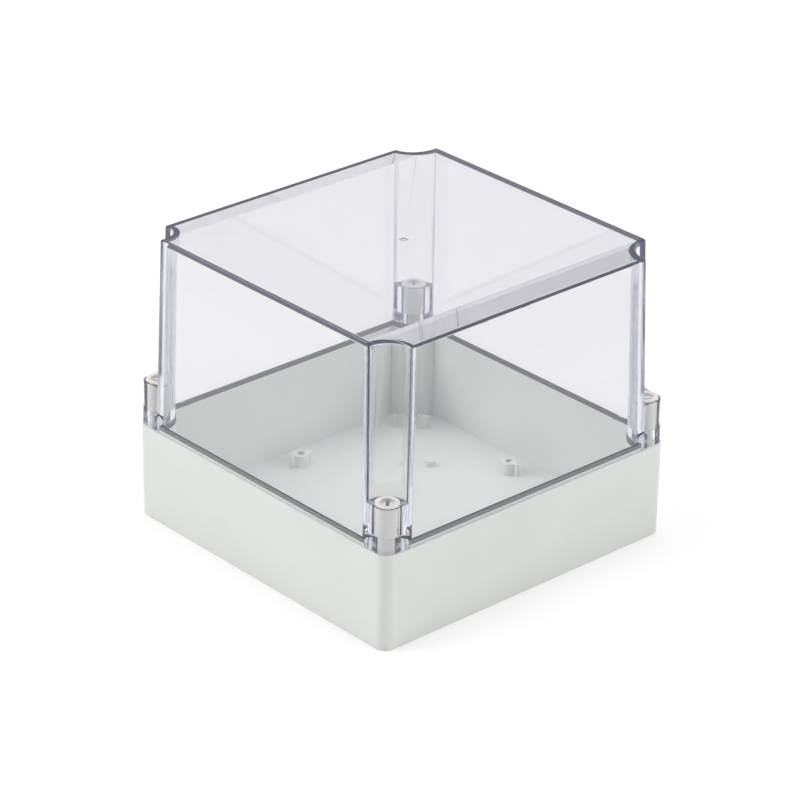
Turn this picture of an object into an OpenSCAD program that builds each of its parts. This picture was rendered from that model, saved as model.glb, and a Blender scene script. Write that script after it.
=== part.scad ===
// Square wall-mounting enclosure: an opaque tray, a deep clear cover that sits on it over a
// gasket, and four slotted corner screws that are reached through notches in the cover.
// The origin is at the middle of the underside, +Z is up, and -Y and +X are the two front faces.

/* [Overall size] */
// Width of the closed box along X
box_w = 180; // [160:5:240]
// Depth of the closed box along Y
box_d = 180; // [160:5:240]
// Height of the closed box
box_h = 150; // [120:5:200]
// Height of the base from its underside to its rim
base_h = 49; // [40:1:65]
// Outer radius of the base's upright corners
corner_r = 6; // [4:0.5:7]

/* [Base tray] */
// Thickness of the base's walls
base_wall = 4; // [3.5:0.1:5]
// Thickness of the base's floor
base_floor = 3; // [2:0.5:4]
// Radius along the edge of the underside
foot_r = 1.2; // [0.5:0.1:2]
// Width of the flat land outside the sealing tongue
rim_land = 2; // [1.6:0.1:2.4]
// Height of the sealing tongue above the land
tongue_h = 1.4; // [1:0.1:2]

/* [Standoffs] */
// Distance of the four main standoffs from the middle of the floor
standoff_reach = 72; // [55:1:74]
// Height of every standoff above the floor
standoff_h = 6.5; // [4:0.5:12]
// Outer diameter of a main standoff
standoff_d = 8.4; // [7:0.1:9]
// Diameter of the screw hole in a main standoff
standoff_hole_d = 3.8; // [3:0.1:4.5]
// Depth of the screw holes in the standoffs
standoff_hole_depth = 5; // [3:0.5:6]
// Length of the fin on each side of a main standoff
fin_l = 2.2; // [1:0.1:3]
// Thickness of the fins
fin_t = 1.4; // [1:0.1:2]
// Distance of a locating post from the middle, across its wall
post_far = 72; // [64:1:74]
// Distance of a locating post from the middle, along its wall
post_near = 65; // [50:1:66]
// Outer diameter of a locating post
post_d = 3.8; // [3.2:0.1:4.5]
// Diameter of the pilot hole in a locating post
post_hole_d = 1.8; // [1.2:0.1:2.2]
// Length of the wedge that braces a locating post
post_wedge_l = 4.2; // [3:0.1:6]
// Distance of the four round pads from the middle of the floor along X
pad_x = 31; // [20:1:45]
// Distance of the four round pads from the middle of the floor along Y
pad_y = 47; // [30:1:55]
// Diameter of a pad
pad_d = 5; // [4:0.5:8]
// Height of a pad above the floor
pad_h = 3.2; // [1:0.1:4]

/* [Cover] */
// How far the cover's lower edge stands in from the base's outer faces
cover_step = 0.5; // [0.2:0.1:0.8]
// Gap between the base's rim and the cover's lower edge
cover_gap = 0.2; // [0.1:0.05:0.5]
// Thickness of the cover's walls
cover_wall = 3; // [2.6:0.1:3.5]
// Thickness of the cover's top panel in its level middle
cover_top = 3; // [2:0.5:5]
// How far each wall leans in from the lower edge to the top
cover_draft = 2.3; // [0.5:0.1:3]
// How far the top panel falls to its edges over the +X and -X walls
top_fall = 1.8; // [0.5:0.1:2.5]
// Width of the strip over which the top panel falls
top_fall_w = 16; // [8:0.5:20]

/* [Corner notches and screw blocks] */
// Distance of each notch's axis from the two outer faces
notch_in = 5; // [3:0.1:6]
// Radius of a notch, measured at the cover's lower edge
notch_r = 9.7; // [9.4:0.1:11]
// Height of the screw blocks above the cover's lower edge
block_h = 23.3; // [18:0.1:30]

/* [Seal] */
// Height of the gasket as clamped
gasket_h = 2.3; // [1.5:0.1:3]
// Clearance between the gasket and the cover's skirt
gasket_clear = 0.1; // [0.05:0.05:0.3]

/* [Cover screws] */
// Distance of each screw's axis from the two outer faces
screw_in = 7.5; // [7:0.1:8]
// Diameter of a screw's head
head_d = 11.5; // [9:0.1:11.6]
// Height of a screw's head
head_h = 11.5; // [8:0.1:13]
// Diameter of the collar under the head
collar_d = 10.6; // [8:0.1:10.8]
// Height of the collar under the head
collar_h = 4; // [2:0.1:5]
// How far a head stands above its block
head_proud = 0.5; // [0:0.1:1]
// Diameter of a screw's shank over its thread
shank_d = 5.9; // [5:0.1:6]
// Length of a shank below the collar
shank_l = 24.5; // [20:0.5:26]
// Height of the taper at a screw's tip
tip_h = 1.5; // [0.5:0.1:3]
// Diameter of the round recess in a head
recess_d = 7.4; // [5:0.1:8]
// Depth of the round recess
recess_depth = 1.6; // [1:0.1:3]
// Width of the driver slot
slot_w = 1.7; // [1:0.1:2.5]
// Depth of the driver slot below the recess
slot_depth = 2.2; // [1:0.1:4]
// Radial clearance of a head in its counterbore
head_clear = 0.2; // [0.1:0.05:0.3]
// Radial clearance of a shank in the cover's through hole
shank_clear = 0.25; // [0.1:0.05:0.4]
// Radial clearance of a shank in the base's column
thread_clear = 0.05; // [0.02:0.01:0.1]
// Depth left below a screw's tip in its column
column_spare = 2; // [1:0.5:4]

/* [Hidden] */
$fn = 96;

cut = 1;                                      // how far a cutter passes a face
half_w = box_w / 2;
half_d = box_d / 2;
seal_z = base_h + tongue_h;                   // top of the tongue, where the gasket lies
clamp_z = seal_z + gasket_h;                  // where the cover's walls press on the gasket
cover_z = base_h + cover_gap;                 // the cover's lower edge
cover_h = box_h - cover_z;
block_z = cover_z + block_h;                  // flat top of the screw blocks
head_z = block_z + head_proud;                // top of the screw heads
seat_z = head_z - head_h - collar_h;          // counterbore floor, where the collars sit
tip_z = seat_z - shank_l;
lean = cover_draft / cover_h;                 // inward lean of a wall for each mm of height

// Inset of the cover's faces from the base's outer faces at height z
function face_inset(z) = cover_step + lean * (z - cover_z);

// Radius of a notch at height z: its wall leans as the flat walls do
function notch_radius(z) = notch_r + lean * (z - cover_z);

// One copy of the children at each corner, at a distance in from both faces
module at_corners(inset)
    for (sx = [-1, 1], sy = [-1, 1])
        translate([sx * (half_w - inset), sy * (half_d - inset), 0]) children();

// Plan of the sealed space at a depth in from the outer faces: a rectangle that passes
// inside the four screw columns along arcs about the notch axes
module sealed_plan(depth)
    difference() {
        square([box_w - 2 * depth, box_d - 2 * depth], center = true);
        at_corners(notch_in) circle(r = notch_r - cover_step + depth);
    }

// Closed ring between two depths of the sealed plan
module seal_ring(z, h)
    translate([0, 0, z])
        linear_extrude(height = h)
            difference() {
                sealed_plan(rim_land);
                sealed_plan(base_wall);
            }

// Upright slab outline with its two lower corners rounded
module footed_outline(w, h, r) {
    translate([-w / 2, r]) square([w, h - r]);
    translate([-w / 2 + r, 0]) square([w - 2 * r, h - r]);
    for (s = [-1, 1])
        translate([s * (w / 2 - r), r]) circle(r = r);
}

// Half section of a round post with its lower edge rounded
module footed_section(post_r, h, r) {
    translate([0, r]) square([post_r, h - r]);
    square([post_r - r, h - r]);
    translate([post_r - r, r]) circle(r = r);
}

// Outside of the base: two crossing slabs and a round post in each corner
module base_body() {
    rotate([90, 0, 90])
        linear_extrude(height = box_w - 2 * corner_r, center = true)
            footed_outline(box_d, base_h, foot_r);
    rotate([90, 0, 0])
        linear_extrude(height = box_d - 2 * corner_r, center = true)
            footed_outline(box_w, base_h, foot_r);
    at_corners(corner_r)
        rotate_extrude()
            intersection() {
                footed_section(corner_r, base_h, foot_r);
                square([corner_r, base_h]);
            }
}

// Main standoff: a round boss with a fin on each side of it
module standoff() {
    z = base_floor - cut;
    h = standoff_h + cut;
    translate([0, 0, z]) cylinder(d = standoff_d, h = h);
    translate([-fin_t / 2, -standoff_d / 2 - fin_l, z])
        cube([fin_t, standoff_d + 2 * fin_l, h]);
}

// Locating post: a slim boss braced by a wedge that points along +X
module locating_post()
    translate([0, 0, base_floor - cut])
        linear_extrude(height = standoff_h + cut) {
            circle(d = post_d);
            polygon([[0, post_d / 2], [post_wedge_l, 0], [0, -post_d / 2]]);
        }

// Places of the main standoffs, each turned so that its fins run along its wall
module at_standoffs()
    for (turn = [0:90:270])
        rotate(turn) translate([standoff_reach, 0, 0]) children();

// Places of the locating posts, two beside each column, with their wedges apart
module at_posts()
    for (sx = [-1, 1], sy = [-1, 1]) {
        translate([sx * post_near, sy * post_far, 0])
            rotate(atan2(sy, -sx)) children();
        translate([sx * post_far, sy * post_near, 0])
            rotate(atan2(-sy, sx)) children();
    }

// Opaque tray with its floor fittings, screw columns and sealing tongue
module base() {
    top_z = base_floor + standoff_h;
    color([0.85, 0.86, 0.84])
    difference() {
        union() {
            difference() {
                base_body();
                translate([0, 0, base_floor])
                    linear_extrude(height = base_h) sealed_plan(base_wall);
            }
            seal_ring(base_h - cut, tongue_h + cut);
            at_standoffs() standoff();
            at_posts() locating_post();
            for (sx = [-1, 1], sy = [-1, 1])
                translate([sx * pad_x, sy * pad_y, base_floor - cut])
                    cylinder(d = pad_d, h = pad_h + cut);
        }
        at_standoffs()
            translate([0, 0, top_z - standoff_hole_depth])
                cylinder(d = standoff_hole_d, h = standoff_hole_depth + cut);
        at_posts()
            translate([0, 0, top_z - standoff_hole_depth])
                cylinder(d = post_hole_d, h = standoff_hole_depth + cut);
        at_corners(screw_in)
            translate([0, 0, tip_z - column_spare])
                cylinder(r = shank_d / 2 + thread_clear, h = base_h);
    }
}

// Soft ring on the tongue, clamped by the cover's walls
module gasket()
    color([0.5, 0.5, 0.51]) seal_ring(seal_z, gasket_h);

// Leaning slab between two heights, standing in from the faces by the wall depth
module leaning_slab(half_span, length, depth, z0, z1)
    linear_extrude(height = length, center = true)
        polygon([
            [-half_span + face_inset(z0) + depth, z0],
            [half_span - face_inset(z0) - depth, z0],
            [half_span - face_inset(z1) - depth, z1],
            [-half_span + face_inset(z1) + depth, z1]
        ]);

// Notch cutters: upright cones about the notch axes, a wall depth larger than the notches
module notch_cones(depth, z0, z1)
    at_corners(notch_in)
        translate([0, 0, z0])
            cylinder(r1 = notch_radius(z0) + depth, r2 = notch_radius(z1) + depth, h = z1 - z0);

// Space under the top panel's outside: level in the middle, falling to both X edges
module under_roof() {
    edge_x = half_w - face_inset(box_h);
    rotate([90, 0, 0])
        linear_extrude(height = box_d + 2 * cut, center = true)
            polygon([
                [-edge_x - top_fall_w, cover_z - cut],
                [edge_x + top_fall_w, cover_z - cut],
                [edge_x + top_fall_w, box_h - 2 * top_fall],
                [edge_x - top_fall_w, box_h],
                [-edge_x + top_fall_w, box_h],
                [-edge_x - top_fall_w, box_h - 2 * top_fall]
            ]);
}

// Outside of the cover before its notches: crossing slabs and a cone in each corner
module cover_body()
    intersection() {
        union() {
            rotate([90, 0, 90]) leaning_slab(half_d, box_w - 2 * corner_r, 0, cover_z, box_h);
            rotate([90, 0, 0]) leaning_slab(half_w, box_d - 2 * corner_r, 0, cover_z, box_h);
            at_corners(corner_r)
                translate([0, 0, cover_z])
                    cylinder(r1 = corner_r - face_inset(cover_z), r2 = corner_r - face_inset(box_h),
                             h = cover_h);
        }
        under_roof();
    }

// Hollow of the cover, leaving the wall even round the notches
module cover_hollow() {
    top_z = box_h - cover_top;
    difference() {
        intersection() {
            rotate([90, 0, 90]) leaning_slab(half_d, box_w, cover_wall, cover_z - cut, top_z);
            rotate([90, 0, 0]) leaning_slab(half_w, box_d, cover_wall, cover_z - cut, top_z);
        }
        notch_cones(cover_wall, cover_z - 2 * cut, box_h);
    }
    translate([0, 0, cover_z - cut])
        linear_extrude(height = clamp_z - cover_z + cut) sealed_plan(rim_land - gasket_clear);
}

// Clear hood, open below, with a notch and a screw block at each corner
module cover()
    color([0.86, 0.89, 0.93, 0.35])
    difference() {
        cover_body();
        cover_hollow();
        notch_cones(0, block_z, box_h + cut);
        at_corners(screw_in) {
            translate([0, 0, seat_z]) cylinder(r = head_d / 2 + head_clear, h = block_h);
            translate([0, 0, cover_z - cut])
                cylinder(r = shank_d / 2 + shank_clear, h = block_h);
        }
    }

// Captive screw in the corner given by its signs, with its slot along the diagonal
module cover_screw(sx, sy)
    color([0.8, 0.81, 0.79])
    translate([sx * (half_w - screw_in), sy * (half_d - screw_in), 0])
    rotate(atan2(sy, sx))
    difference() {
        union() {
            translate([0, 0, seat_z + collar_h]) cylinder(d = head_d, h = head_h);
            translate([0, 0, seat_z]) cylinder(d = collar_d, h = collar_h + cut);
            translate([0, 0, tip_z + tip_h]) cylinder(d = shank_d, h = shank_l - tip_h + cut);
            translate([0, 0, tip_z]) cylinder(d1 = shank_d - tip_h, d2 = shank_d, h = tip_h);
        }
        translate([0, 0, head_z - recess_depth]) cylinder(d = recess_d, h = recess_depth + cut);
        translate([-recess_d / 2, -slot_w / 2, head_z - recess_depth - slot_depth])
            cube([recess_d, slot_w, slot_depth + cut]);
    }

module screw_front() cover_screw(1, -1);
module screw_left() cover_screw(-1, -1);
module screw_back() cover_screw(-1, 1);
module screw_right() cover_screw(1, 1);

base();
gasket();
cover();
screw_front();
screw_left();
screw_back();
screw_right();
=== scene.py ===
"""Looks of a square wall enclosure: a light grey tray under a deep clear cover with notched
corners. The cover is one shell worked out from plan paths; the tray, the seal and the four screws
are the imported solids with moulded-plastic finishes.

Known fault: the cover's skin is not fully closed. Some edges of the top panel, by the gate mark,
do not have two faces each; Shell.build prints how many."""

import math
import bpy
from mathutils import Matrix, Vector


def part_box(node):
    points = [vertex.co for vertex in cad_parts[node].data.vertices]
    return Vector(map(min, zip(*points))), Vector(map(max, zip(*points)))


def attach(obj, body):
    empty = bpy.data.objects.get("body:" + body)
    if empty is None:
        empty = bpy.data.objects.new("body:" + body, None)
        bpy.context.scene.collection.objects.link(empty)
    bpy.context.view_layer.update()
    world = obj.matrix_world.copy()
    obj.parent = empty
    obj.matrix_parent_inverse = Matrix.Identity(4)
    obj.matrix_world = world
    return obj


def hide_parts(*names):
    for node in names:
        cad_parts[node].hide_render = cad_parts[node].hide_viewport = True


bl_info = {
    "name": "Clear-cover enclosure",
    "version": (1, 0, 0),
    "blender": (4, 5, 0),
    "location": "View3D > Sidebar > Enclosure",
    "description": "Builds the clear cover, the finishes and the studio of a square enclosure",
    "category": "Object",
}

import bmesh
import bpy
import numpy as np
from mathutils import Matrix, Vector

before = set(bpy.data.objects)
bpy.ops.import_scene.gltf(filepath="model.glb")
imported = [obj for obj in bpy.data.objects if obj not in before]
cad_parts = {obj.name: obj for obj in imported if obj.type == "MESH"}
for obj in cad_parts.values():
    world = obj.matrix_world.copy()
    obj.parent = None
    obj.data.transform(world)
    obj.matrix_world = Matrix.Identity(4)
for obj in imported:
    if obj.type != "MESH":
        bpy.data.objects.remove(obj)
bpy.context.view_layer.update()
COVER_LOW, COVER_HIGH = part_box("cover")
GASKET_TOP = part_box("gasket")[1].z
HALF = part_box("base")[1].x
MM = 0.001

WELD = 1e-7
POINT = 1e-9
ROUND_ROWS = 7
ROOF_PASSES = 3
BLOCK_RUN = 9
NOTCH_CLEAR = 0.3 * MM
REBATE_ROUND = 0.25 * MM
FOOT_RISE, FOOT_TUCK = 0.4 * MM, 0.3 * MM
BORE_CHAMFER = 0.3 * MM
GATE_RIM, GATE_LIP, GATE_DISH = 0.9, 0.72, 0.5
MOTTLE_SCALE, SCATTER_DEPTH = 28.0, 0.002


# ---------------------------------------------------------------- settings


def length(name, text, value, low=0.0, high=1.0):
    """A size in metres for a property group."""
    return bpy.props.FloatProperty(
        name=name, description=text, default=value, min=low, max=high,
        subtype="DISTANCE", unit="LENGTH", precision=5,
    )


def tint(name, text, value):
    """A linear colour for a property group."""
    return bpy.props.FloatVectorProperty(
        name=name, description=text, default=value, size=3, min=0.0, max=1.0, subtype="COLOR"
    )


class CoverSettings(bpy.types.PropertyGroup):
    """Sizes of the clear cover. Plan sizes are given at its lower edge."""

    step: length("Step", "Inset of the lower edge from the tray's faces", 0.5 * MM)
    draft: length("Draft", "How far each wall leans in over the cover's height", 2.3 * MM)
    wall: length("Wall", "Thickness of the walls and of the top panel", 3 * MM)
    notch_wall: length("Notch wall", "Thickness of the wall round a notch", 3 * MM)
    corner: length("Corner", "Outer radius of the tray's upright corners", 6 * MM)
    notch_in: length("Notch axis", "Distance of a notch's axis from the tray's faces", 5 * MM)
    notch: length("Notch radius", "Radius of a notch at the lower edge", 9.7 * MM)
    notch_round: length("Notch rounding", "Radius where a notch meets a flat wall", 0.7 * MM)
    block: length("Block height", "Height of a screw block above the lower edge", 23.3 * MM)
    block_round: length("Block rounding", "Radius along a block's outer top edge", 0.6 * MM)
    top_round: length("Top rounding", "Radius along the edge of the top panel", 0.6 * MM)
    inner_round: length("Inner rounding", "Radius inside, under the top panel", 0.4 * MM)
    fall: length("Top fall", "How far the top panel falls to its X edges", 1.8 * MM)
    fall_width: length("Fall width", "Width of the strips over which the top falls", 16 * MM)
    skirt_depth: length("Skirt depth", "Inset of the rebate round the seal", 1.9 * MM)
    screw_in: length("Screw axis", "Distance of a screw's axis from the tray's faces", 7.5 * MM)
    seat: length("Seat height", "Height of the counterbore's floor", 57.5 * MM)
    bore: length("Counterbore", "Radius of a counterbore", 5.95 * MM)
    hole: length("Through hole", "Radius of the hole under a counterbore", 3.2 * MM)
    gate: length("Gate mark", "Radius of the gate dimple in the middle of the top", 2.4 * MM)
    gate_depth: length("Gate depth", "Depth of the gate dimple", 0.12 * MM)
    ior: bpy.props.FloatProperty(
        name="Index", description="Refractive index of polycarbonate", default=1.585, min=1.0, max=3.0
    )
    skin: tint("Skin", "Tint of light that passes a surface", (0.955, 0.953, 0.945))
    haze: bpy.props.FloatProperty(
        name="Haze", description="Share of light that a surface scatters", default=0.045,
        min=0.0, max=1.0, subtype="FACTOR",
    )
    haze_colour: tint("Haze colour", "Colour of the scattered light", (0.42, 0.42, 0.62))
    absorb: tint("Absorbed", "Tint that is left after a long path in the plastic", (0.40, 0.44, 0.74))
    density: bpy.props.FloatProperty(
        name="Absorption", description="Absorption per metre", default=8.0, min=0.0, max=1000.0
    )


class FinishSettings(bpy.types.PropertyGroup):
    """Colours of the opaque pieces."""

    tray: tint("Tray", "Light grey moulded plastic", (0.70, 0.715, 0.69))
    seal: tint("Seal", "Grey foamed rubber", (0.085, 0.085, 0.087))
    screw: tint("Screws", "Pale nylon", (0.66, 0.67, 0.65))


class StudioSettings(bpy.types.PropertyGroup):
    """Camera place, floor and lamps."""

    camera: bpy.props.FloatVectorProperty(
        name="Camera", description="Place of the camera", size=3, subtype="XYZ", unit="LENGTH",
        default=(1.1237, -1.0229, 0.8249),
    )
    turn: bpy.props.FloatVectorProperty(
        name="Turn", description="Tilt from straight down, roll and turn about Z", size=3,
        subtype="EULER", unit="ROTATION",
        default=(math.radians(63.46), math.radians(0.91), math.radians(47.71)),
    )
    lens: bpy.props.FloatProperty(
        name="Lens", description="Focal length on a 36 mm sensor", default=159.8, min=1.0, max=500.0,
        subtype="DISTANCE_CAMERA",
    )
    floor: length("Floor", "Side of the square floor", 8.0, high=100.0)
    key: bpy.props.FloatProperty(
        name="Key", description="Power of the soft lamp on the left", default=18.0, min=0.0, max=500.0,
        unit="POWER",
    )
    fill: bpy.props.FloatProperty(
        name="Fill", description="Power of the soft lamp on the right", default=12.0, min=0.0, max=500.0,
        unit="POWER",
    )
    top: bpy.props.FloatProperty(
        name="Top", description="Power of the soft lamp above", default=11.0, min=0.0, max=500.0,
        unit="POWER",
    )
    backdrop: bpy.props.FloatProperty(
        name="Backdrop", description="Elevation of the white backdrop's upper edge",
        default=math.radians(31), min=0.0, max=1.57, subtype="ANGLE", unit="ROTATION",
    )
    skirting: bpy.props.FloatProperty(
        name="Skirting", description="Elevation of the white backdrop's lower edge",
        default=math.radians(19), min=0.0, max=1.57, subtype="ANGLE", unit="ROTATION",
    )
    below: bpy.props.FloatProperty(
        name="Below", description="Brightness mirrored from under the backdrop", default=0.45,
        min=0.0, max=5.0,
    )
    above: bpy.props.FloatProperty(
        name="Above", description="Brightness mirrored from above the backdrop", default=0.45,
        min=0.0, max=5.0,
    )
    ambient: bpy.props.FloatProperty(
        name="Ambient", description="Strength of the surrounding light on matt surfaces",
        default=0.58, min=0.0, max=5.0,
    )


# ---------------------------------------------------------------- mesh helpers


class Shell:
    """Points and faces gathered patch by patch; equal points are welded at the end."""

    def __init__(self):
        self.points, self.quads, self.count = [], [], 0

    def loft(self, rows, closed=True):
        """Skin over rows of points: row j, station i gives point (i, j) of a grid, and each
        cell of the grid is a face. A closed skin joins the last station to the first."""
        grid = np.asarray(rows, float)
        n_rows, n = grid.shape[:2]
        index = self.count + np.arange(n_rows * n).reshape(n_rows, n)
        right = np.roll(index, -1, axis=1)
        if not closed:
            index, right = index[:, :-1], right[:, :-1]
        cells = np.stack([index[:-1], right[:-1], right[1:], index[1:]], -1)
        self.quads.append(cells.reshape(-1, 4))
        self.points.append(grid.reshape(-1, 3))
        self.count += n_rows * n

    def build(self, name, weld=WELD):
        """Object from the gathered patches, welded, with its normals recalculated. Prints how many
        edges do not have exactly two faces, which is 0 on a closed skin."""
        mesh = bpy.data.meshes.new(name)
        points, quads = np.concatenate(self.points), np.concatenate(self.quads)
        mesh.from_pydata(points.tolist(), [], quads.tolist())
        work = bmesh.new()
        work.from_mesh(mesh)
        bmesh.ops.remove_doubles(work, verts=work.verts, dist=weld)
        bmesh.ops.dissolve_degenerate(work, edges=work.edges, dist=weld / 2)
        bmesh.ops.recalc_face_normals(work, faces=work.faces)
        open_edges = sum(1 for edge in work.edges if len(edge.link_faces) != 2)
        work.to_mesh(mesh)
        work.free()
        print("shell", name, "faces", len(mesh.polygons), "open edges", open_edges)
        piece = bpy.data.objects.new(name, mesh)
        bpy.context.scene.collection.objects.link(piece)
        return piece


def turn_quarters(plan):
    """Four copies of a corner path, each turned a quarter further: x' = x cos - y sin."""
    quarter = np.arange(4)[:, None] * np.pi / 2
    x, y = plan[..., 0], plan[..., 1]
    return np.stack(
        [x * np.cos(quarter) - y * np.sin(quarter), x * np.sin(quarter) + y * np.cos(quarter)], -1
    )


def ring(centre, radius, angles, height):
    """Circle at a height, sampled at the given angles."""
    return np.stack(
        [centre[0] + radius * np.cos(angles), centre[1] + radius * np.sin(angles),
         np.full_like(angles, height)], -1
    )


# ---------------------------------------------------------------- cover


ROUND_STEPS, ARC_STEPS = 8, 44
STATIONS = 2 * ROUND_STEPS + ARC_STEPS + 3


class CoverPlan:
    """Plan paths of the cover. Every path has the same stations on each corner, so any two
    can be skinned together; between corners the walls are flat and need none."""

    def __init__(self, s):
        self.s = s
        self.low, self.high = COVER_LOW.z, COVER_HIGH.z
        self.axis = HALF - s.notch_in
        self.lean = s.draft / (self.high - self.low)
        self.block = self.low + s.block
        self.edge = HALF - self.inset(self.high)
        self.crease = self.edge - s.fall_width

    def inset(self, z):
        """Inset of the outer face at height z: a straight line in z."""
        return self.s.step + self.lean * (z - self.low)

    def notched(self, half, radius, rounding):
        """Path past a notch: a fillet off one flat, the notch's arc taken backwards, and a
        fillet onto the next flat. The fillet's centre lies one fillet radius behind the flat
        and a notch radius plus a fillet radius from the notch's axis."""
        half, radius = np.broadcast_arrays(np.asarray(half, float), radius)
        depth = half - rounding
        side = self.axis - np.sqrt((radius + rounding) ** 2 - (depth - self.axis) ** 2)
        swing = np.arctan2(self.axis - side, self.axis - depth)
        i = np.arange(STATIONS) - 1
        end = STATIONS - 3
        first = np.clip(i / ROUND_STEPS, 0, 1)
        middle = np.clip((i - ROUND_STEPS) / ARC_STEPS, 0, 1)
        last = np.clip((i - end + ROUND_STEPS) / ROUND_STEPS, 0, 1)
        a = swing * first
        b = (swing + np.pi) * (1 - middle) + (1.5 * np.pi - swing) * middle
        c = np.pi / 2 - swing * (1 - last)
        on_first, on_last = i <= ROUND_STEPS, i > end - ROUND_STEPS
        x = np.where(on_first, depth + rounding * np.cos(a),
                     np.where(on_last, side + rounding * np.cos(c), self.axis + radius * np.cos(b)))
        y = np.where(on_first, side + rounding * np.sin(a),
                     np.where(on_last, depth + rounding * np.sin(c), self.axis + radius * np.sin(b)))
        flat = np.minimum(self.crease, side - NOTCH_CLEAR)
        x, y = np.where(i > end, flat, x), np.where(i < 0, flat, y)
        return np.stack([x, y], -1)

    def outer(self, z, tuck=0.0):
        """Notched outside at the heights z (4 corners by stations), tucked in by a depth."""
        z = np.broadcast_to(np.asarray(z, float), (4, STATIONS))
        half = HALF - self.inset(z) - tuck
        radius = self.s.notch + self.lean * (z - self.low) + tuck
        return turn_quarters(self.notched(half, radius, self.s.notch_round - tuck))

    def inner(self, z, tuck=0.0):
        """Inside of the walls: one wall thickness in from the notched outside."""
        z = np.broadcast_to(np.asarray(z, float), (4, STATIONS))
        half = HALF - self.inset(z) - self.s.wall - tuck
        radius = self.s.notch + self.lean * (z - self.low) + self.s.notch_wall + tuck
        return turn_quarters(self.notched(half, radius, self.s.inner_round * 1.2 - tuck))

    def rebate(self):
        """Upright inside of the skirt, round the seal."""
        depth = self.s.skirt_depth
        half = np.full((4, STATIONS), HALF - depth)
        return turn_quarters(self.notched(half, self.s.notch - self.s.step + depth, REBATE_ROUND))

    def square(self, z, tuck=0.0, fade=False):
        """Outside of the screw blocks: straight, a quarter circle and straight again. The
        tuck fades to nothing at both ends where the block meets the flat walls."""
        run = BLOCK_RUN
        turn = STATIONS - 3 - 2 * run
        i = np.arange(STATIONS) - 1
        start = self.notched(
            HALF - self.inset(self.block), self.s.notch + self.lean * self.s.block, self.s.notch_round
        )[1, 1]
        ends = np.minimum(i, STATIONS - 3 - i) / run
        depth = tuck * (np.clip(ends * 2, 0, 1) if fade else 1.0)
        half = HALF - self.inset(z) - depth
        centre = HALF - self.s.corner
        radius = half - centre
        swing = np.clip((i - run) / turn, 0, 1) * np.pi / 2
        along = start + (centre - start) * np.clip(ends, 0, 1)
        along = np.where(ends < 0, self.crease, along)
        x = np.where(i < run, half, np.where(i > run + turn, along, centre + radius * np.cos(swing)))
        y = np.where(i < run, along, np.where(i > run + turn, half, centre + radius * np.sin(swing)))
        return turn_quarters(np.broadcast_to(np.stack([x, y], -1), (4, STATIONS, 2)))


def lifted(plan, z):
    """Loop of points: a plan path of four corners with its heights."""
    z = np.broadcast_to(np.asarray(z, float), plan.shape[:-1])
    return np.concatenate([plan, z[..., None]], -1)


def roofed(plan_at, plan, fall, rise):
    """Loop whose height follows the roof: level in the middle and falling in a straight line
    from the crease to the edge along X. The walls lean, so the path is found again at the
    height it reaches."""
    z = np.full((4, STATIONS), plan.high)
    for _ in range(ROOF_PASSES):
        path = plan_at(z)
        slope = np.clip((np.abs(path[..., 0]) - plan.crease) / (plan.edge - plan.crease), 0, 2)
        z = plan.high - fall * slope - rise
    return lifted(path, z)


def roof(shell, loop, plan, rings):
    """Outside of the top inside a loop: two ruled strips from the X edges up to their
    creases, and a level field that closes on rings round the middle, the last one a point.
    Known fault: the points on a crease keep the spacing of the notch path, which doubles back,
    and they crowd on the small rings, so that some edges there do not have two faces each."""
    lines = []
    for corner, sign in ((3, 1), (1, -1)):
        edge = np.concatenate([loop[corner], loop[(corner + 1) % 4]])
        line = edge.copy()
        line[:, 0], line[:, 2] = sign * plan.crease, plan.high
        shell.loft([edge, line], closed=False)
        lines.append(line)
    field = np.concatenate(lines)
    angles = np.arctan2(field[:, 1], field[:, 0])
    shell.loft([field] + [ring((0, 0), r, angles, z) for r, z in rings])


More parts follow.
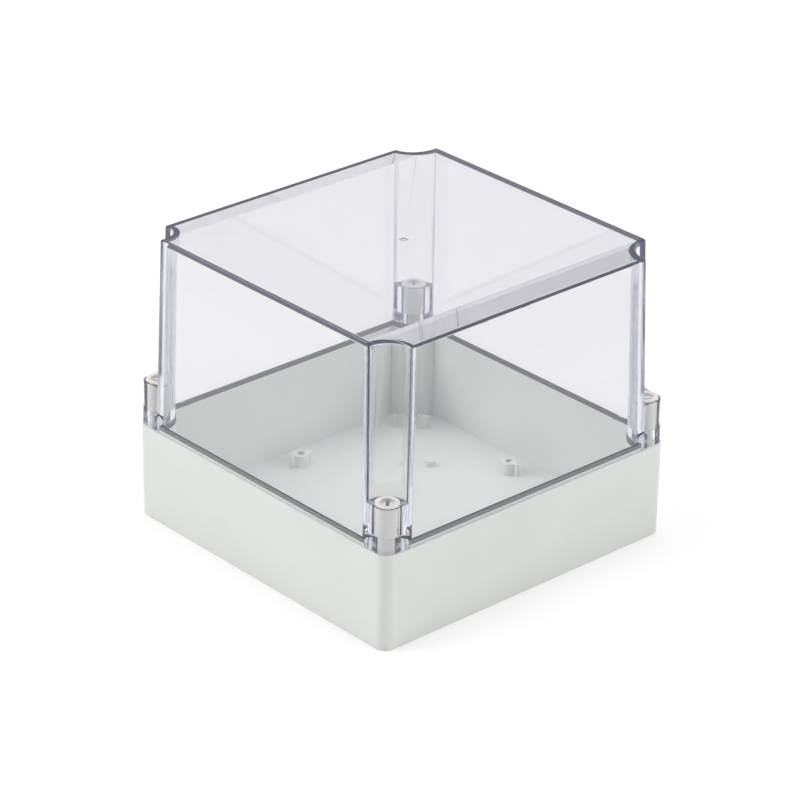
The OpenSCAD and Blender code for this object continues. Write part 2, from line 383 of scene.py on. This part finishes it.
def cover_shell(s):
    """Skin of the cover, from the top panel down the outside, round the lower edge and up the
    inside, with a stepped hole through each screw block. See roof() for its open edges."""
    plan, shell = CoverPlan(s), Shell()
    steps = np.linspace(0, np.pi / 2, ROUND_ROWS)
    rings = 4 * STATIONS

    # outside: rolled top edge, then the leaning walls down to the block tops
    r = s.top_round
    rows = [
        roofed(lambda z, t=t: plan.outer(z, r * (1 - np.sin(t))), plan, s.fall, r * (1 - np.cos(t)))
        for t in steps
    ]
    raised, sunk = plan.high + s.gate_depth, plan.high - s.gate_depth
    roof(shell, rows[0], plan, [
        (s.gate, plan.high), (s.gate * GATE_RIM, raised), (s.gate * GATE_LIP, raised),
        (s.gate * GATE_DISH, sunk), (POINT, sunk),
    ])
    rows.append(lifted(plan.outer(plan.block), plan.block))
    shell.loft([row.reshape(rings, 3) for row in rows])

    # screw blocks: rounded outer top edge, walls, and a small chamfer at the lower edge
    r = s.block_round
    blocks = [lifted(plan.square(plan.block, r * (1 - np.sin(t)), fade=True),
                     plan.block - r * (1 - np.cos(t))) for t in steps]
    blocks += [lifted(plan.square(plan.low + FOOT_RISE), plan.low + FOOT_RISE),
               lifted(plan.square(plan.low, FOOT_TUCK), plan.low)]
    shell.loft([row.reshape(rings, 3) for row in blocks])
    rebate = plan.rebate()
    foot, lip = blocks[-1], lifted(rebate, plan.low)
    for corner in range(4):
        nxt = (corner + 1) % 4
        shell.loft([[row[corner, -2], row[corner, -1], row[nxt, 0], row[nxt, 1]] for row in (foot, lip)],
                   closed=False)

    # stepped hole: from the block's top through the counterbore to the lower edge
    signs = ((1, 1), (-1, 1), (-1, -1), (1, -1))
    for corner, (sx, sy) in enumerate(signs):
        centre = (sx * (HALF - s.screw_in), sy * (HALF - s.screw_in))
        above = np.concatenate([blocks[0][corner, 1:-1], rows[-1][corner, -2:0:-1]])
        below = np.concatenate([foot[corner, 1:-1], lip[corner, -2:0:-1]])
        angles = np.arctan2(above[:, 1] - centre[1], above[:, 0] - centre[0])
        shell.loft([
            above,
            ring(centre, s.bore + BORE_CHAMFER, angles, plan.block),
            ring(centre, s.bore, angles, plan.block - BORE_CHAMFER),
            ring(centre, s.bore, angles, s.seat),
            ring(centre, s.hole, angles, s.seat),
            ring(centre, s.hole, angles, plan.low),
            below,
        ])

    # inside: up the skirt, over the clamping ledge, up the walls and round into the ceiling
    ledge = GASKET_TOP
    r = s.inner_round
    ceiling = plan.high - s.wall
    rows = [lip, lifted(rebate, ledge), lifted(plan.inner(ledge), ledge)]
    for t in steps[::-1]:
        height = ceiling - r * (1 - np.cos(t))
        rows.append(lifted(plan.inner(height, r * (1 - np.sin(t))), height))
    rows = [row.reshape(rings, 3) for row in rows]
    angles = np.arctan2(rows[-1][:, 1], rows[-1][:, 0])
    shell.loft(rows + [ring((0, 0), radius, angles, ceiling) for radius in (s.gate, POINT)])
    return shell


# ---------------------------------------------------------------- materials


def new_material(name):
    """Empty node tree with its output."""
    material = bpy.data.materials.new(name)
    material.use_nodes = True
    tree = material.node_tree
    tree.nodes.clear()
    return material, tree, tree.nodes.new("ShaderNodeOutputMaterial")


def join(tree, source, target):
    """Links one socket to another."""
    tree.links.new(source, target)


def clear_plastic(s):
    """Clear polycarbonate: a smooth refracting skin with a little haze, over a body that absorbs
    a little. Lamps reach what is inside through a plain transparent skin."""
    material, tree, out = new_material("clear_polycarbonate")
    nodes = tree.nodes
    skin = nodes.new("ShaderNodeBsdfPrincipled")
    skin.inputs["Base Color"].default_value = (*s.skin, 1)
    skin.inputs["Roughness"].default_value = 0.0
    skin.inputs["IOR"].default_value = s.ior
    skin.inputs["Transmission Weight"].default_value = 1.0
    haze = nodes.new("ShaderNodeBsdfDiffuse")
    haze.inputs["Color"].default_value = (*s.haze_colour, 1)
    clouded = nodes.new("ShaderNodeMixShader")
    clouded.inputs["Fac"].default_value = s.haze
    join(tree, skin.outputs[0], clouded.inputs[1])
    join(tree, haze.outputs[0], clouded.inputs[2])
    bare = nodes.new("ShaderNodeBsdfTransparent")
    bare.inputs["Color"].default_value = (1, 1, 1, 1)
    path = nodes.new("ShaderNodeLightPath")
    either = nodes.new("ShaderNodeMath")
    either.operation = "MAXIMUM"
    join(tree, path.outputs["Is Shadow Ray"], either.inputs[0])
    join(tree, path.outputs["Is Diffuse Ray"], either.inputs[1])
    mix = nodes.new("ShaderNodeMixShader")
    join(tree, either.outputs[0], mix.inputs["Fac"])
    join(tree, clouded.outputs[0], mix.inputs[1])
    join(tree, bare.outputs[0], mix.inputs[2])
    join(tree, mix.outputs[0], out.inputs["Surface"])
    body = nodes.new("ShaderNodeVolumeAbsorption")
    body.inputs["Color"].default_value = (*s.absorb, 1)
    body.inputs["Density"].default_value = s.density
    join(tree, body.outputs[0], out.inputs["Volume"])
    return material


def moulded_plastic(name, colour, roughness, grain, depth, glow=0.0):
    """Moulded plastic: a faint cloudiness in its colour and gloss, and a fine eroded grain. The
    glow is the share of light that scatters under the surface."""
    material, tree, out = new_material(name)
    nodes = tree.nodes
    place = nodes.new("ShaderNodeTexCoord")
    skin = nodes.new("ShaderNodeBsdfPrincipled")
    skin.inputs["Subsurface Weight"].default_value = glow
    skin.inputs["Subsurface Scale"].default_value = SCATTER_DEPTH
    join(tree, skin.outputs[0], out.inputs["Surface"])
    cloud = nodes.new("ShaderNodeTexNoise")
    cloud.inputs["Scale"].default_value = MOTTLE_SCALE
    cloud.inputs["Detail"].default_value = 3.0
    join(tree, place.outputs["Object"], cloud.inputs["Vector"])
    shade = nodes.new("ShaderNodeValToRGB")
    shade.color_ramp.elements[0].position, shade.color_ramp.elements[1].position = 0.3, 0.7
    shade.color_ramp.elements[0].color = (*[c * 0.975 for c in colour], 1)
    shade.color_ramp.elements[1].color = (*[min(c * 1.02, 1) for c in colour], 1)
    join(tree, cloud.outputs["Fac"], shade.inputs["Fac"])
    join(tree, shade.outputs["Color"], skin.inputs["Base Color"])
    gloss = nodes.new("ShaderNodeMapRange")
    gloss.inputs["To Min"].default_value = roughness - 0.04
    gloss.inputs["To Max"].default_value = roughness + 0.04
    join(tree, cloud.outputs["Fac"], gloss.inputs["Value"])
    join(tree, gloss.outputs["Result"], skin.inputs["Roughness"])
    fine = nodes.new("ShaderNodeTexNoise")
    fine.inputs["Scale"].default_value = grain
    fine.inputs["Detail"].default_value = 2.0
    join(tree, place.outputs["Object"], fine.inputs["Vector"])
    bump = nodes.new("ShaderNodeBump")
    bump.inputs["Strength"].default_value = 0.1
    bump.inputs["Distance"].default_value = depth
    join(tree, fine.outputs["Fac"], bump.inputs["Height"])
    join(tree, bump.outputs["Normal"], skin.inputs["Normal"])
    return material


def finish_node(name, material):
    """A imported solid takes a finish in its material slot."""
    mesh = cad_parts[name].data
    mesh.materials.clear()
    mesh.materials.append(material)


# ---------------------------------------------------------------- operators


class ENCLOSURE_OT_studio(bpy.types.Operator):
    """Make the floor, the surrounding light, the lamps and the camera"""

    bl_idname = "enclosure.studio"
    bl_label = "Studio"

    def execute(self, context):
        s = context.scene.enclosure_studio
        side = s.floor / 2
        mesh = bpy.data.meshes.new("floor")
        corners = [(-side, -side, 0), (side, -side, 0), (side, side, 0), (-side, side, 0)]
        mesh.from_pydata(corners, [], [(0, 1, 2, 3)])
        floor = bpy.data.objects.new("floor", mesh)
        context.scene.collection.objects.link(floor)
        material, tree, out = new_material("white_floor")
        matt = tree.nodes.new("ShaderNodeBsdfDiffuse")
        paint = tree.nodes.new("ShaderNodeMix")
        paint.data_type = "RGBA"
        paint.inputs["A"].default_value = (0.85, 0.85, 0.85, 1)
        paint.inputs["B"].default_value = (0.50, 0.50, 0.50, 1)
        lift = tree.nodes.new("ShaderNodeEmission")
        path = tree.nodes.new("ShaderNodeLightPath")
        seen = self.seen(tree, path)
        scale = tree.nodes.new("ShaderNodeMath")
        scale.operation = "MULTIPLY"
        scale.inputs[1].default_value = 0.5
        join(tree, seen, paint.inputs["Factor"])
        join(tree, paint.outputs["Result"], matt.inputs["Color"])
        join(tree, seen, scale.inputs[0])
        join(tree, scale.outputs[0], lift.inputs["Strength"])
        both = tree.nodes.new("ShaderNodeAddShader")
        join(tree, matt.outputs[0], both.inputs[0])
        join(tree, lift.outputs[0], both.inputs[1])
        join(tree, both.outputs[0], out.inputs["Surface"])
        mesh.materials.append(material)

        world = bpy.data.worlds.new("studio")
        context.scene.world = world
        world.use_nodes = True
        tree = world.node_tree
        tree.nodes.clear()
        out = tree.nodes.new("ShaderNodeOutputWorld")
        glow = tree.nodes.new("ShaderNodeBackground")
        place = tree.nodes.new("ShaderNodeTexCoord")
        split = tree.nodes.new("ShaderNodeSeparateXYZ")
        join(tree, place.outputs["Generated"], split.inputs[0])
        wall = tree.nodes.new("ShaderNodeValToRGB")
        stops = wall.color_ramp.elements
        stops[0].position, stops[1].position = 0.0, 1.0
        stops[1].color = (s.above,) * 3 + (1,)
        for height, grey in (
            (0.0, s.below), (math.sin(s.skirting) - 0.04, s.below), (math.sin(s.skirting) + 0.02, 1.0),
            (math.sin(s.backdrop), 1.0), (math.sin(s.backdrop) + 0.03, s.above),
        ):
            stops.new(max(height, 0.001)).color = (grey,) * 3 + (1,)
        stops[0].color = (1, 1, 1, 1)
        join(tree, split.outputs["Z"], wall.inputs["Fac"])
        level = tree.nodes.new("ShaderNodeMix")
        path = tree.nodes.new("ShaderNodeLightPath")
        join(tree, self.seen(tree, path), level.inputs["Factor"])
        level.inputs["A"].default_value = s.ambient
        join(tree, wall.outputs["Color"], level.inputs["B"])
        join(tree, level.outputs["Result"], glow.inputs["Strength"])
        join(tree, glow.outputs[0], out.inputs["Surface"])

        middle = Vector((0, 0, 0.07))
        for name, power, place, size in (
            ("key_lamp", s.key, (-0.9, -1.3, 1.1), 1.0),
            ("fill_lamp", s.fill, (1.5, 0.75, 0.9), 1.0),
            ("top_lamp", s.top, (-0.2, 0.2, 1.6), 1.2),
        ):
            lamp = bpy.data.lights.new(name, "AREA")
            lamp.energy, lamp.size = power, size
            holder = bpy.data.objects.new(name, lamp)
            holder.location = place
            holder.rotation_euler = (middle - Vector(place)).to_track_quat("-Z", "Y").to_euler()
            holder.visible_glossy = holder.visible_transmission = False
            context.scene.collection.objects.link(holder)

        camera = bpy.data.cameras.new("camera")
        camera.lens, camera.sensor_width = s.lens, 36.0
        camera.clip_start, camera.clip_end = 0.05, 50.0
        holder = bpy.data.objects.new("camera", camera)
        tilt, roll, turn = s.turn
        holder.matrix_world = (
            Matrix.Translation(Vector(s.camera)) @ Matrix.Rotation(turn, 4, "Z")
            @ Matrix.Rotation(tilt, 4, "X") @ Matrix.Rotation(roll, 4, "Z")
        )
        context.scene.collection.objects.link(holder)
        context.scene.camera = holder
        context.scene.view_settings.view_transform = "Standard"
        return {"FINISHED"}

    @staticmethod
    def seen(tree, path):
        """1 for rays from the camera, from gloss and through clear surfaces, else 0."""
        first, second = tree.nodes.new("ShaderNodeMath"), tree.nodes.new("ShaderNodeMath")
        first.operation = second.operation = "MAXIMUM"
        join(tree, path.outputs["Is Camera Ray"], first.inputs[0])
        join(tree, path.outputs["Is Glossy Ray"], first.inputs[1])
        join(tree, first.outputs[0], second.inputs[0])
        join(tree, path.outputs["Is Transmission Ray"], second.inputs[1])
        return second.outputs[0]


class ENCLOSURE_OT_cover(bpy.types.Operator):
    """Make the clear cover"""

    bl_idname = "enclosure.cover"
    bl_label = "Clear cover"

    def execute(self, context):
        s = context.scene.enclosure_cover
        piece = cover_shell(s).build("clear_cover")
        piece.data.materials.append(clear_plastic(s))
        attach(piece, "cover")
        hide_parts("cover")
        return {"FINISHED"}


class ENCLOSURE_OT_tray(bpy.types.Operator):
    """Finish the tray, the seal and the screws"""

    bl_idname = "enclosure.tray"
    bl_label = "Tray, seal and screws"

    def execute(self, context):
        s = context.scene.enclosure_finish
        finish_node("base", moulded_plastic("tray_grey", s.tray, 0.42, 2600.0, 0.00004))
        finish_node("gasket", moulded_plastic("gasket_rubber", s.seal, 0.75, 1800.0, 0.0001))
        nylon = moulded_plastic("screw_nylon", s.screw, 0.35, 3000.0, 0.00002, glow=0.6)
        for corner in ("front", "left", "back", "right"):
            finish_node("screw_" + corner, nylon)
        return {"FINISHED"}


class ENCLOSURE_PT_panel(bpy.types.Panel):
    """Sidebar list of the pieces and their settings"""

    bl_label = "Enclosure"
    bl_space_type = "VIEW_3D"
    bl_region_type = "UI"
    bl_category = "Enclosure"

    def draw(self, context):
        for operator, group in (
            ("enclosure.studio", "enclosure_studio"),
            ("enclosure.cover", "enclosure_cover"),
            ("enclosure.tray", "enclosure_finish"),
        ):
            box = self.layout.box()
            box.operator(operator)
            settings = getattr(context.scene, group)
            for key in settings.__annotations__:
                box.prop(settings, key)


CLASSES = (
    CoverSettings, FinishSettings, StudioSettings,
    ENCLOSURE_OT_studio, ENCLOSURE_OT_cover, ENCLOSURE_OT_tray, ENCLOSURE_PT_panel,
)


def register():
    """Registers the classes and hangs the settings on the scene."""
    for cls in CLASSES:
        bpy.utils.register_class(cls)
    bpy.types.Scene.enclosure_cover = bpy.props.PointerProperty(type=CoverSettings)
    bpy.types.Scene.enclosure_finish = bpy.props.PointerProperty(type=FinishSettings)
    bpy.types.Scene.enclosure_studio = bpy.props.PointerProperty(type=StudioSettings)


def unregister():
    """Takes the settings and the classes away again."""
    for name in ("enclosure_cover", "enclosure_finish", "enclosure_studio"):
        delattr(bpy.types.Scene, name)
    for cls in reversed(CLASSES):
        bpy.utils.unregister_class(cls)


def main():
    register()
    bpy.ops.enclosure.studio()
    bpy.ops.enclosure.cover()
    bpy.ops.enclosure.tray()


if __name__ == "__main__":
    main()
